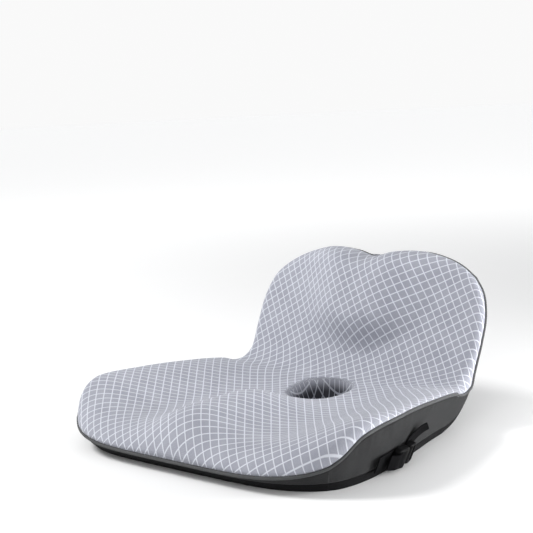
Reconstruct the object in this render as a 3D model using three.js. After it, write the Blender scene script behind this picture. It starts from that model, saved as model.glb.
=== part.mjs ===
// Seat cushion with a lumbar back: one L-shaped foam form in a sewn cover.
// Frame, in millimetres: +X to the sitter's left, +Y towards the back, +Z up. The origin is on the
// surface that the cushion rests on, under the middle of the seat.
//
// Every piece is laid out in "cushion coordinates" (x, s, h): x across, s along the underside from
// front to top, and h the height above the underside. place() bends them into the L shape.
import * as THREE from "three";

// ---------------------------------------------------------------- driving dimensions
const FLAT_END = 85; // where the flat underside starts to turn up, measured from the origin
const HEEL_RADIUS = 60; // bend of the underside between seat and back
const RECLINE = THREE.MathUtils.degToRad(25); // lean of the rear face from upright
const TURN_LENGTH = 105; // length of underside over which the height direction turns with the bend

const DEPTH_SHIFT = 2.4; // moves the whole part back, so that the origin is at its mid depth

const ACROSS = 30; // grid cells of the top panel, side to side
const ALONG = 42; // grid cells of the top panel, front to top

const FRONT_CENTRE = -221; // s of the front edge on the centre line
const FRONT_SQUARENESS = 5; // power of the front edge's bow: higher is flatter with rounder corners
const CORNER = [208, -181]; // middle of the rounded front corner, as [x, s]
const SIDE = [CORNER, [219, -165], [226, -142], [229, -104], [224, -50], [216, 0], [206, 60], [198, 108],
  [191, 150], [188, 185], [189, 225], [187, 262], [177, 292], [160, 313]];
const TOP = [[160, 313], [135, 328], [106, 338], [74, 343], [37, 340], [0, 332]];

const SEAM_HEIGHT = track([[-221, 19], [-182, 34], [-140, 63], [-58, 70], [19, 66], [85, 59],
  [115, 49], [137, 35], [152, 23], [168, 12], [190, 10]]);
const CREST_HEIGHT = track([[-221, 46], [-182, 62], [-150, 73], [-125, 77], [-58, 74], [19, 69],
  [85, 61], [115, 52], [137, 42], [160, 30], [190, 20], [340, 19]]);
const TROUGH_HEIGHT = track([[-221, 46], [-110, 45], [-20, 42], [30, 42], [66, 45], [90, 48],
  [115, 45], [137, 39], [160, 31], [190, 25], [300, 27], [340, 26]]);
const DRAW_IN = track([[-221, 19], [-138, 21], [-58, 23], [0, 25], [97, 28], [130, 20], [165, 8],
  [190, 5]]);

const BANK = { inner: 134, outer: 2 }; // the side banks rise between these distances from the edge
const POMMEL = { rise: 28, halfWidth: 52, fadeFrom: -80, fadeTo: 25 };
const RECESS = { s: 66, halfWidth: 45, halfLength: 53, depth: 34, floor: 0.6, rim: 1.03 };
const BULGE = { rise: 27, groove: 90, spread: 0.4, from: 200, full: 0.2, foot: 186, round: 252 };
const CLEFT = { depth: 6, halfWidth: 27, from: 275, to: 338 }; // dip between the two top lobes
const ROLL = { side: 15, front: 62, top: 30, power: 1.9 };

const CLOTH = 1.5; // cover cloth of the side band and of the turned-up rim
const BASE_CLOTH = 2; // base panel
const GAP = 0.3; // clearance between neighbouring pieces
const RIM = track([[-221, 11], [95, 12], [150, 5.2], [168, 4.4]]); // turned-up rim of the base panel
const PIPING = { radius: 2, sides: 6, proud: 1.5, lip: 0.4 };
const GUSSET_END = 165; // s at which the side band runs out, on each side

// Strap set low on the right side wall, where local X runs back, local Y up and local Z outward.
const STRAP_SET = { at: [216.6, -78, 18.5], yaw: 8.3, tilt: 23 };
const STRAP = { width: 20, thickness: 1.4, tailRise: 50, tailStart: 38 };
const BUCKLE = { width: 26, thickness: 8, corner: 5, bar: 4, slot: 3.4 };
const SOCKET_LENGTH = 26;
const PLUG_LENGTH = 17;
// Side views of the webbing as [X, Z]: the sewn end passes up through the socket's slot and back over
// its bar, and the free end runs out from behind the plug and curls away from the wall.
const ANCHOR_ROUTE = [[-34, -0.4], [-20, -1], [-6, -1.3], [3, -1.3], [5.3, -0.4], [5.7, 2], [5.7, 6],
  [5.3, 8.6], [3, 9.5], [-3, 9.3], [-8, 7.4], [-14, 4.6]];
const TAIL_ROUTE = [[0, -1.4], [15, -1.4], [24, 0.2], [32, 2.8], [38, 6.2]];

// ---------------------------------------------------------------- materials
const material = (name, color, roughness, metalness = 0) =>
  new THREE.MeshStandardMaterial({ name, color, roughness, metalness });
const KNIT = material("patterned_knit", 0xa9acb6, 0.9);
const CHARCOAL = material("charcoal_knit", 0x46474a, 0.95);
const PIPING_CLOTH = material("piping_cloth", 0x8f9193, 0.85);
const BLACK_CLOTH = material("black_base_cloth", 0x141416, 0.95);
const WEBBING = material("black_webbing", 0x161618, 0.8);
const PLASTIC = material("black_plastic", 0x101012, 0.4);

// ---------------------------------------------------------------- small maths
const clamp01 = (t) => Math.min(1, Math.max(0, t));
const smooth = (from, to, t) => THREE.MathUtils.smoothstep((t - from) / (to - from), 0, 1);
const bell = (x, halfWidth) => Math.exp(-((x / halfWidth) ** 2));

// A smooth curve through [s, value] knots, level beyond its ends.
function track(knots) {
  const slope = (i) => {
    const a = knots[Math.max(0, i - 1)];
    const b = knots[Math.min(knots.length - 1, i + 1)];
    return (b[1] - a[1]) / (b[0] - a[0]);
  };
  return (s) => {
    const at = THREE.MathUtils.clamp(s, knots[0][0], knots.at(-1)[0]);
    const i = Math.min(knots.length - 2, Math.max(0, knots.findIndex((k) => k[0] > at) - 1));
    const j = at >= knots.at(-1)[0] ? knots.length - 2 : i;
    const span = knots[j + 1][0] - knots[j][0];
    const t = (at - knots[j][0]) / span;
    const [t2, t3] = [t * t, t * t * t];
    return (2 * t3 - 3 * t2 + 1) * knots[j][1] + (t3 - 2 * t2 + t) * span * slope(j) +
      (3 * t2 - 2 * t3) * knots[j + 1][1] + (t3 - t2) * span * slope(j + 1);
  };
}

// Quarter-ellipse rise from 0 at an edge to 1 at one roll width in from it.
const roll = (distance, width) =>
  (1 - (1 - clamp01(distance / width)) ** ROLL.power) ** (1 / ROLL.power);

// ---------------------------------------------------------------- cushion coordinates
const BEND = Math.PI / 2 - RECLINE;

// The underside's own line in the Y-Z plane: flat, then an arc, then the straight reclined rear.
function underside(s) {
  const turned = Math.min(Math.max(0, s - FLAT_END) / HEEL_RADIUS, BEND);
  const straight = Math.max(0, s - FLAT_END - HEEL_RADIUS * BEND);
  return {
    y: Math.min(s, FLAT_END) + HEEL_RADIUS * Math.sin(turned) + straight * Math.cos(BEND),
    z: HEEL_RADIUS * (1 - Math.cos(turned)) + straight * Math.sin(BEND),
  };
}

function place(x, s, h) {
  const lean = BEND * clamp01((s - FLAT_END) / TURN_LENGTH);
  const foot = underside(s);
  return new THREE.Vector3(x, foot.y - h * Math.sin(lean), foot.z + h * Math.cos(lean));
}

// ---------------------------------------------------------------- outline of the top panel
const curve = (points) =>
  new THREE.CatmullRomCurve3(points.map(([x, s]) => new THREE.Vector3(x, s, 0)), false, "centripetal");
const mirrored = (points) => points.map(([x, s]) => [-x, s]);

const sideCurve = curve(SIDE);
const topCurve = curve([...mirrored(TOP), ...TOP.slice(0, -1).reverse()]);

// The bowed front edge: a superellipse arc between the two front corners.
function frontEdge(u) {
  const x = CORNER[0] * Math.sin((u * Math.PI) / 4) / Math.SQRT1_2;
  const bow = 1 - Math.abs(x / CORNER[0]) ** FRONT_SQUARENESS;
  return [x, THREE.MathUtils.lerp(CORNER[1], FRONT_CENTRE, bow)];
}

// Grid lines crowd towards the rolled edges.
const acrossAt = (i) => Math.sin(((2 * i) / ACROSS - 1) * 1.3) / Math.sin(1.3);
const alongAt = (j) => 0.6 * (j / ALONG) + 0.2 * (1 - Math.cos((Math.PI * j) / ALONG));

// A Coons patch over the four edges gives the [x, s] of each grid point.
function panelPoint(u, v) {
  const side = sideCurve.getPointAt(v);
  const top = topCurve.getPointAt((u + 1) / 2);
  const [frontX, frontS] = frontEdge(u);
  const [cornerX, cornerS] = CORNER;
  const [shoulderX, shoulderS] = TOP[0];
  const x = (1 - v) * frontX + v * top.x + u * side.x -
    u * ((1 - v) * cornerX + v * shoulderX);
  const s = (1 - v) * frontS + v * top.y + side.y - ((1 - v) * cornerS + v * shoulderS);
  return [x, s];
}

// ---------------------------------------------------------------- contours of the top panel
// Height of the foam before its edges roll over: troughs, side banks, pommel, recess and back.
function contour(x, s, halfWidth) {
  const reach = halfWidth - Math.abs(x);
  const trough = TROUGH_HEIGHT(s);
  const bank = (CREST_HEIGHT(s) - trough) * smooth(BANK.inner, BANK.outer, reach);
  const pommel = POMMEL.rise * bell(x, POMMEL.halfWidth) * smooth(POMMEL.fadeTo, POMMEL.fadeFrom, s);
  const inRecess = Math.hypot(x / RECESS.halfWidth, (s - RECESS.s) / RECESS.halfLength);
  const recess = RECESS.depth * smooth(RECESS.rim, RECESS.floor, inRecess);
  const groove = BULGE.groove + BULGE.spread * (s - BULGE.from);
  const below = Math.max(0, BULGE.round - s) / (BULGE.round - BULGE.foot);
  const bulge = BULGE.rise * smooth(1, BULGE.full, Math.hypot(x / groove, below));
  const cleft = CLEFT.depth * bell(x, CLEFT.halfWidth) * smooth(CLEFT.from, CLEFT.to, s);
  return trough + bank + pommel - recess + bulge - cleft;
}

function topPoint(u, v) {
  const [x, s] = panelPoint(u, v);
  const halfWidth = panelPoint(1, v)[0];
  const seam = SEAM_HEIGHT(s);
  const rise = roll((1 - Math.abs(u)) * halfWidth, ROLL.side) *
    roll(s - frontEdge(u)[1], ROLL.front) * roll(panelPoint(u, 1)[1] - s, ROLL.top);
  return place(x, s, seam + (contour(x, s, halfWidth) - seam) * rise);
}

// ---------------------------------------------------------------- the seam loop
// The grid points on the panel's edge, going round anticlockwise from the left front corner.
function edgeCells() {
  const cells = [];
  for (let i = 0; i < ACROSS; i++) cells.push([i, 0]);
  for (let j = 0; j < ALONG; j++) cells.push([ACROSS, j]);
  for (let i = ACROSS; i > 0; i--) cells.push([i, ALONG]);
  for (let j = ALONG; j > 0; j--) cells.push([0, j]);
  return cells;
}

const EDGE_CELLS = edgeCells();
const EDGE = EDGE_CELLS.map(([i, j]) => panelPoint(acrossAt(i), alongAt(j)));
// Unit vectors that point into the panel, square to its edge.
const INWARD = EDGE.map((_, k) => {
  const [ax, as] = EDGE[(k + EDGE.length - 1) % EDGE.length];
  const [bx, bs] = EDGE[(k + 1) % EDGE.length];
  const length = Math.hypot(bx - ax, bs - as);
  return [-(bs - as) / length, (bx - ax) / length];
});

// How far the side wall has drawn in at a height h: nothing at the seam, most at the base.
const drawIn = (s, h) => DRAW_IN(s) * (1 - clamp01(h / SEAM_HEIGHT(s))) ** 1.4;

// One ring of points round the cushion. at(s) gives [inset, h], and the inset is added to the wall's.
const ring = (at) => EDGE.map(([x, s], k) => {
  const [inset, h] = at(s);
  const reach = inset + drawIn(s, h);
  return place(x + INWARD[k][0] * reach, s + INWARD[k][1] * reach, h);
});

// ---------------------------------------------------------------- mesh building
class Surface {
  constructor() {
    this.points = [];
    this.faces = [];
  }

  add(points) {
    const first = this.points.length;
    this.points.push(...points);
    return points.map((_, k) => first + k);
  }

  quad(a, b, c, d) {
    this.faces.push(a, b, c, a, c, d);
  }

  // A strip between two rows of indices. Seen from outside, "next" is above "row" and both run right.
  strip(row, next, closed) {
    const count = closed ? row.length : row.length - 1;
    for (let k = 0; k < count; k++) {
      const n = (k + 1) % row.length;
      this.quad(row[k], row[n], next[n], next[k]);
    }
  }

  mesh(name, finish) {
    const geometry = new THREE.BufferGeometry().setFromPoints(this.points);
    geometry.setIndex(this.faces);
    geometry.computeVertexNormals();
    const made = new THREE.Mesh(geometry, finish);
    made.name = name;
    return made;
  }
}

// Closes a ring by rungs from its left to its right side, with its front and top ends filled flat.
function fillAcross(surface, loop, faceUp) {
  const left = [loop[0], ...loop.slice(2 * ACROSS + ALONG).reverse()];
  const right = loop.slice(ACROSS, ACROSS + ALONG + 1);
  const turned = (a, b, c) => surface.faces.push(...(faceUp ? [a, b, c] : [a, c, b]));
  for (let j = 0; j < ALONG; j++) {
    turned(left[j], right[j], right[j + 1]);
    turned(left[j], right[j + 1], left[j + 1]);
  }
  for (const end of [loop.slice(0, ACROSS + 1), loop.slice(ACROSS + ALONG, 2 * ACROSS + ALONG + 1)])
    fillFlat(surface, end, turned);
}

// Fills one flat polygon of indices. Its plane holds the X axis, so its points are seen along Y + Z.
function fillFlat(surface, polygon, turned) {
  const flat = polygon.map((k) => {
    const p = surface.points[k];
    return new THREE.Vector2(p.x, p.y + p.z);
  });
  for (const [a, b, c] of THREE.ShapeUtils.triangulateShape(flat, []))
    turned(polygon[a], polygon[b], polygon[c]);
}

// ---------------------------------------------------------------- pieces
// Wall of the foam form under its patterned top, from the panel's edge down to the base.
function bodyRings() {
  const behindPiping = 2 * PIPING.radius + PIPING.lip + GAP;
  const skin = CLOTH + PIPING.lip;
  const wallTop = (s) => SEAM_HEIGHT(s) - behindPiping - GAP;
  const middle = (s) => (wallTop(s) + RIM(s)) / 2;
  return [
    (s) => [skin, BASE_CLOTH + PIPING.lip],
    (s) => [skin, RIM(s)],
    (s) => [skin, middle(s)],
    (s) => [skin, wallTop(s)],
    (s) => [behindPiping, SEAM_HEIGHT(s) - GAP],
  ];
}

function cushionBody() {
  const surface = new Surface();
  const grid = [];
  for (let j = 0; j <= ALONG; j++) {
    const row = Array.from({ length: ACROSS + 1 }, (_, i) => topPoint(acrossAt(i), alongAt(j)));
    grid.push(surface.add(row));
  }
  for (let j = 0; j < ALONG; j++) surface.strip(grid[j], grid[j + 1], false);
  const rings = bodyRings().map((at) => surface.add(ring(at)));
  rings.push(EDGE_CELLS.map(([i, j]) => grid[j][i]));
  for (let k = 0; k + 1 < rings.length; k++) surface.strip(rings[k], rings[k + 1], true);
  fillAcross(surface, rings[0], false);
  return surface.mesh("cushion_body", KNIT);
}

// Light piping sewn between the top panel and the side band, all the way round.
function piping() {
  const surface = new Surface();
  const { radius, sides, proud, lip } = PIPING;
  const rings = Array.from({ length: sides }, (_, k) => {
    const angle = (2 * Math.PI * (k + 0.5)) / sides;
    return surface.add(ring((s) => [
      radius - proud - radius * Math.cos(angle) - drawIn(s, SEAM_HEIGHT(s) - radius),
      SEAM_HEIGHT(s) - GAP - lip - radius + radius * Math.sin(angle),
    ]));
  });
  rings.forEach((row, k) => surface.strip(row, rings[(k + 1) % sides], true));
  return surface.mesh("seam_piping", PIPING_CLOTH);
}

// Charcoal side band between the piping and the base panel's rim, with its two ends tapered off.
function sideGusset() {
  const surface = new Surface();
  const bottom = (s) => RIM(s) + GAP;
  const top = (s) => SEAM_HEIGHT(s) - 2 * PIPING.radius - PIPING.lip - 2 * GAP;
  const middle = (s) => (bottom(s) + top(s)) / 2;
  const section = [
    (s) => [0, bottom(s)], (s) => [0, middle(s)], (s) => [0, top(s)],
    (s) => [CLOTH, top(s)], (s) => [CLOTH, middle(s)], (s) => [CLOTH, bottom(s)],
  ];
  const first = 2 * ACROSS + ALONG;
  const order = EDGE.map((_, k) => (first + k) % EDGE.length).filter((k) => EDGE[k][1] < GUSSET_END);
  const rows = section.map((at) => {
    const whole = ring(at);
    return surface.add(order.map((k) => whole[k]));
  });
  rows.forEach((row, k) => surface.strip(row, rows[(k + 1) % rows.length], false));
  const end = (pick) => rows.map((row) => row.at(pick));
  const [a, b, c, d, e, f] = end(0);
  surface.quad(a, b, e, f);
  surface.quad(b, c, d, e);
  const [l, m, n, o, p, q] = end(-1);
  surface.quad(l, q, p, m);
  surface.quad(m, p, o, n);
  return surface.mesh("side_gusset", CHARCOAL);
}

// Black base panel: it lies flat under the seat, runs up the rear, and turns up as a rim all round.
function basePanel() {
  const surface = new Surface();
  const rings = [
    () => [0, 0], (s) => [0, RIM(s) / 2], (s) => [0, RIM(s)],
    (s) => [CLOTH, RIM(s)], (s) => [CLOTH, Math.max(RIM(s) / 2, BASE_CLOTH + GAP)],
    () => [CLOTH, BASE_CLOTH],
  ].map((at) => surface.add(ring(at)));
  for (let k = 0; k + 1 < rings.length; k++) surface.strip(rings[k], rings[k + 1], true);
  fillAcross(surface, rings[0], false);
  fillAcross(surface, rings.at(-1), true);
  return surface.mesh("base_panel", BLACK_CLOTH);
}

// ---------------------------------------------------------------- strap set
// A rounded plate from x = 0 to length, centred on the local X axis, with a slot near one end.
function buckleOutline(length, slotAt) {
  const [half, r] = [BUCKLE.width / 2, BUCKLE.corner];
  const outline = new THREE.Shape();
  outline.moveTo(r, -half);
  outline.lineTo(length - r, -half);
  outline.quadraticCurveTo(length, -half, length, -half + r);
  outline.lineTo(length, half - r);
  outline.quadraticCurveTo(length, half, length - r, half);
  outline.lineTo(r, half);
  outline.quadraticCurveTo(0, half, 0, half - r);
  outline.lineTo(0, -half + r);
  outline.quadraticCurveTo(0, -half, r, -half);
  outline.holes.push(slot(slotAt, (STRAP.width + 1) / 2));
  return outline;
}

function slot(from, half) {
  const hole = new THREE.Path();
  hole.moveTo(from, -half);
  hole.lineTo(from, half);
  hole.lineTo(from + BUCKLE.slot, half);
  hole.lineTo(from + BUCKLE.slot, -half);
  hole.lineTo(from, -half);
  return hole;
}

function named(name, geometry, finish) {
  const made = new THREE.Mesh(geometry, finish);
  made.name = name;
  return made;
}

function plate(name, outline) {
  const options = { depth: BUCKLE.thickness, bevelEnabled: false, curveSegments: 5 };
  return named(name, new THREE.ExtrudeGeometry(outline, options), PLASTIC);
}

// The socket half, with its webbing bar at the front and its mouth against the plug.
const buckleSocket = () => plate("buckle_socket", buckleOutline(SOCKET_LENGTH, BUCKLE.bar));

// The plug half, closed into the socket, so only its shoulder and webbing bar show.
function bucklePlug() {
  const made = plate("buckle_plug", buckleOutline(PLUG_LENGTH, PLUG_LENGTH - BUCKLE.bar - BUCKLE.slot));
  made.position.x = SOCKET_LENGTH + GAP;
  return made;
}

// Flat webbing: a side view in local X-Z, thickened and swept over the strap's width.
function webbing(name, route) {
  const line = curve(route);
  const steps = 2 * route.length;
  const face = (sign) => Array.from({ length: steps + 1 }, (_, k) => {
    const along = line.getTangentAt(k / steps);
    const at = line.getPointAt(k / steps);
    const out = (sign * STRAP.thickness) / 2;
    return new THREE.Vector2(at.x - along.y * out, at.y + along.x * out);
  });
  const outline = new THREE.Shape([...face(-1), ...face(1).reverse()]);
  const geometry = new THREE.ExtrudeGeometry(outline, { depth: STRAP.width, bevelEnabled: false });
  geometry.translate(0, 0, -STRAP.width / 2);
  geometry.rotateX(Math.PI / 2);
  return named(name, geometry, WEBBING);
}

function strapTail() {
  const made = webbing("strap_tail", TAIL_ROUTE);
  made.position.x = STRAP.tailStart;
  made.rotation.z = THREE.MathUtils.degToRad(STRAP.tailRise);
  return made;
}

function strapSet() {
  const [yaw, tilt] = [STRAP_SET.yaw, STRAP_SET.tilt].map(THREE.MathUtils.degToRad);
  const back = new THREE.Vector3(-Math.sin(yaw), Math.cos(yaw), 0);
  const out = new THREE.Vector3(back.y * Math.cos(tilt), -back.x * Math.cos(tilt), -Math.sin(tilt));
  const up = new THREE.Vector3().crossVectors(out, back);
  const wall = new THREE.Group();
  wall.quaternion.setFromRotationMatrix(new THREE.Matrix4().makeBasis(back, up, out));
  wall.position.set(...STRAP_SET.at);
  wall.add(buckleSocket(), bucklePlug(), webbing("strap_anchor", ANCHOR_ROUTE), strapTail());
  return wall;
}

const group = new THREE.Group();
group.position.y = DEPTH_SHIFT;
group.add(cushionBody(), piping(), sideGusset(), basePanel(), strapSet());

export default group;
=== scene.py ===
"""Contoured seat cushion with a lumbar back: its cover, seams, base cloth, strap and buckle.

The cover, its piping, the side band and the base cloth are worked out in cushion coordinates
(x, s, h) in metres: x across the seat, s along the underside towards the top of the back, h the
height above the underside. The strap and buckle have coordinates of their own on the right wall.
"""

import logging
from collections.abc import Callable
from dataclasses import dataclass, field
from enum import Enum

import bpy
import numpy as np
from mathutils import Matrix, Vector


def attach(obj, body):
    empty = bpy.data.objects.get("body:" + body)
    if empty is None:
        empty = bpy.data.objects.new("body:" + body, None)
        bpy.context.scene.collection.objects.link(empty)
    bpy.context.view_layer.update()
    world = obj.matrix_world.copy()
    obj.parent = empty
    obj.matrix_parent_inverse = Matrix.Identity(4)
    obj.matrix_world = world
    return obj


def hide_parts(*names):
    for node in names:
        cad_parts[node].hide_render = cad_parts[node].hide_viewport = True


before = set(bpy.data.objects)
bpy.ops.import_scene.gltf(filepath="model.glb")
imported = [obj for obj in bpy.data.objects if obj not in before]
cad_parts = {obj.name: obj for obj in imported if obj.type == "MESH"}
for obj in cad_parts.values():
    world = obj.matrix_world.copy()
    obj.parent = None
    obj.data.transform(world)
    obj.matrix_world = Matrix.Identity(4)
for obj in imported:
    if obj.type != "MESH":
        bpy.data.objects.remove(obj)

log = logging.getLogger("seat_cushion")
Array = np.ndarray
Track = Callable[[Array], Array]
MM = 0.001


# ------------------------------------------------------------------ curves and smooth steps
def hermite(t: Array, span: Array | float, ends: tuple, slopes: tuple) -> Array:
    """Cubic Hermite curve: its four polynomials in t times the two ends and the two slopes.

    Args:
        t: share of the span, from 0 to 1.
        span: length of the span.
        ends: the value at each end.
        slopes: the slope at each end, for each unit of span.

    Returns:
        The value at t.
    """
    return (
        (2 * t**3 - 3 * t**2 + 1) * ends[0]
        + (t**3 - 2 * t**2 + t) * span * slopes[0]
        + (3 * t**2 - 2 * t**3) * ends[1]
        + (t**3 - t**2) * span * slopes[1]
    )


def track(knots: list[tuple[float, float]]) -> Track:
    """A smooth curve through (s, value) knots, level beyond its ends.

    Each span is a cubic Hermite whose end slopes are the slopes between the neighbouring knots.

    Args:
        knots: (s, value) pairs in millimetres, in rising order of s.

    Returns:
        A function from s to value, both in metres.
    """
    at, value = (np.array(column) * MM for column in zip(*knots))
    last = len(at) - 1
    low, high = np.maximum(np.arange(last + 1) - 1, 0), np.minimum(np.arange(last + 1) + 1, last)
    slope = (value[high] - value[low]) / (at[high] - at[low])

    def evaluate(s: Array) -> Array:
        """Value of the curve at s."""
        s = np.clip(s, at[0], at[-1])
        i = np.clip(np.searchsorted(at, s, side="right") - 1, 0, last - 1)
        span = at[i + 1] - at[i]
        return hermite((s - at[i]) / span, span, (value[i], value[i + 1]), (slope[i], slope[i + 1]))

    return evaluate


def smooth(start: float | Array, end: float | Array, value: Array) -> Array:
    """Smooth step of value, 0 at start and 1 at end: 3t^2 - 2t^3 of the clamped share t."""
    t = np.clip((value - start) / (end - start), 0.0, 1.0)
    return t * t * (3.0 - 2.0 * t)


def bell(value: Array, half_width: float) -> Array:
    """Bell curve exp(-(value / half_width)^2)."""
    return np.exp(-((value / half_width) ** 2))


def quarter_roll(distance: Array, width: float, power: float) -> Array:
    """Quarter of a superellipse, from 0 at an edge to 1 at one roll width in from it."""
    t = np.clip(distance / width, 0.0, 1.0)
    return (1.0 - (1.0 - t) ** power) ** (1.0 / power)


def round_angles(count: int) -> Array:
    """Evenly spaced angles once round, from 0, without the closing one."""
    return np.linspace(0.0, 2 * np.pi, count + 1)[:-1]


def superellipse(sides: int, half_x: float, half_y: float, power: float) -> Array:
    """Closed outline whose x and y are the cosine and sine, each raised to a power, signs kept.

    Args:
        sides: number of points.
        half_x: half its size along x.
        half_y: half its size along y.
        power: 1 gives an ellipse, and less gives squarer corners.

    Returns:
        The (sides, 2) outline.
    """
    cos, sin = np.cos(round_angles(sides)), np.sin(round_angles(sides))
    return np.stack([half_x * np.sign(cos) * np.abs(cos) ** power,
                     half_y * np.sign(sin) * np.abs(sin) ** power], axis=-1)


def smooth_path(points: list[tuple[float, float]], shares: Array) -> Array:
    """Points at shares of the length of a centripetal Catmull-Rom curve through points.

    Knots are spaced by the square root of each chord. Spans are cubic Hermites, and the curve is
    sampled densely and then resampled evenly along its length.

    Args:
        points: (a, b) pairs in millimetres.
        shares: places along the curve, from 0 to 1.

    Returns:
        An array of (a, b) rows in metres, one for each share.
    """
    p = np.array(points) * MM
    p = np.vstack([2 * p[0] - p[1], p, 2 * p[-1] - p[-2]])
    step = np.sqrt(np.linalg.norm(np.diff(p, axis=0), axis=1))
    before, here, after = step[:-2, None], step[1:-1, None], step[2:, None]
    start = (p[1:-2] - p[:-3]) / before - (p[2:-1] - p[:-3]) / (before + here)
    start = (start + (p[2:-1] - p[1:-2]) / here) * here
    end = (p[2:-1] - p[1:-2]) / here - (p[3:] - p[1:-2]) / (here + after)
    end = (end + (p[3:] - p[2:-1]) / after) * here
    t = np.linspace(0.0, 1.0, 81)[:-1][None, :, None]
    a, b = p[1:-2][:, None], p[2:-1][:, None]
    dense = hermite(t, 1.0, (a, b), (start[:, None], end[:, None]))
    dense = np.vstack([dense.reshape(-1, 2), p[-2]])
    run = np.concatenate([[0.0], np.cumsum(np.linalg.norm(np.diff(dense, axis=0), axis=1))])
    wanted = np.asarray(shares) * run[-1]
    return np.stack([np.interp(wanted, run, dense[:, k]) for k in (0, 1)], axis=-1)


# ------------------------------------------------------------------ meshes from arrays
def add_object(name: str, data: bpy.types.ID) -> bpy.types.Object:
    """Makes an object from its data and links it into the scene."""
    made = bpy.data.objects.new(name, data)
    bpy.context.scene.collection.objects.link(made)
    return made


class Surface:
    """Vertices, quads and triangles gathered as arrays, with one flat coordinate per vertex."""

    def __init__(self) -> None:
        """Starts with nothing gathered."""
        self.points: list[Array] = []
        self.flat: list[Array] = []
        self.quads: list[Array] = []
        self.count = 0

    def add(self, points: Array, flat: Array) -> Array:
        """Adds a row or a grid of points.

        Args:
            points: (..., 3) places in metres.
            flat: (..., 2) cloth coordinates in metres, which become the UV map.

        Returns:
            The indices of the points, shaped as the row or grid.
        """
        shape = points.shape[:-1]
        self.points.append(points.reshape(-1, 3))
        self.flat.append(np.broadcast_to(flat, (*shape, 2)).reshape(-1, 2))
        first = self.count
        self.count += self.points[-1].shape[0]
        return np.arange(first, self.count).reshape(shape)

    def strip(self, rows: Array, closed: bool = False) -> None:
        """Joins successive rows of indices by quads. Seen from outside, rows rise and run right.

        Args:
            rows: the (rows, columns) indices.
            closed: whether each row's last point joins its first.
        """
        across = np.roll(rows, -1, axis=1) if closed else rows[:, 1:]
        left = rows if closed else rows[:, :-1]
        quads = np.stack([left[:-1], across[:-1], across[1:], left[1:]], axis=-1)
        self.quads.append(quads.reshape(-1, 4))

    def rungs(self, left: Array, right: Array, face_up: bool) -> None:
        """Joins two rows of indices by long quads, a flat fill between the two sides of a ring."""
        quads = np.stack([left[:-1], right[:-1], right[1:], left[1:]], axis=-1)
        self.quads.append(quads if face_up else quads[:, ::-1])

    def build(self, name: str, finish: bpy.types.Material) -> bpy.types.Object:
        """Makes the object, smooth shaded, with the cloth coordinates as its UV map.

        Args:
            name: the piece's name.
            finish: its material.

        Returns:
            The new object, at the origin.
        """
        points, flat = np.vstack(self.points), np.vstack(self.flat)
        quads = np.vstack(self.quads).astype(np.int32)
        mesh = bpy.data.meshes.new(name)
        mesh.vertices.add(len(points))
        mesh.vertices.foreach_set("co", points.astype(np.float32).ravel())
        mesh.loops.add(quads.size)
        mesh.loops.foreach_set("vertex_index", quads.ravel())
        mesh.polygons.add(len(quads))
        mesh.polygons.foreach_set("loop_start", np.arange(0, quads.size, 4, dtype=np.int32))
        mesh.polygons.foreach_set("use_smooth", np.ones(len(quads), dtype=bool))
        mesh.update(calc_edges=True)
        layer = mesh.uv_layers.new(name="Cloth")
        layer.data.foreach_set("uv", flat[quads.ravel()].astype(np.float32).ravel())
        mesh.materials.append(finish)
        mesh.validate()
        return add_object(name, mesh)


# ------------------------------------------------------------------ the cushion's own coordinates
@dataclass(frozen=True)
class Bend:
    """The L-shaped underside: flat, an arc at the heel, then the straight reclined rear."""

    flat_end: float = 85 * MM
    heel_radius: float = 60 * MM
    recline: float = np.radians(25.0)
    turn_length: float = 105 * MM
    depth_shift: float = 2.4 * MM

    def place(self, x: Array, s: Array, h: Array) -> Array:
        """Bends cushion coordinates into the part's frame.

        The foot of a point lies on the underside at s. Its height leans from upright to square to
        the rear face over the turn length.

        Args:
            x: across the seat.
            s: along the underside.
            h: height above the underside.

        Returns:
            (..., 3) places.
        """
        x, s, h = np.broadcast_arrays(x, s, h)
        bend = np.pi / 2 - self.recline
        turned = np.clip((s - self.flat_end) / self.heel_radius, 0.0, bend)
        straight = np.maximum(0.0, s - self.flat_end - self.heel_radius * bend)
        lean = bend * np.clip((s - self.flat_end) / self.turn_length, 0.0, 1.0)
        y = np.minimum(s, self.flat_end) + self.heel_radius * np.sin(turned) + straight * np.cos(bend)
        z = self.heel_radius * (1.0 - np.cos(turned)) + straight * np.sin(bend)
        y = y + self.depth_shift - h * np.sin(lean)
        return np.stack([x, y, z + h * np.cos(lean)], axis=-1)


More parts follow.
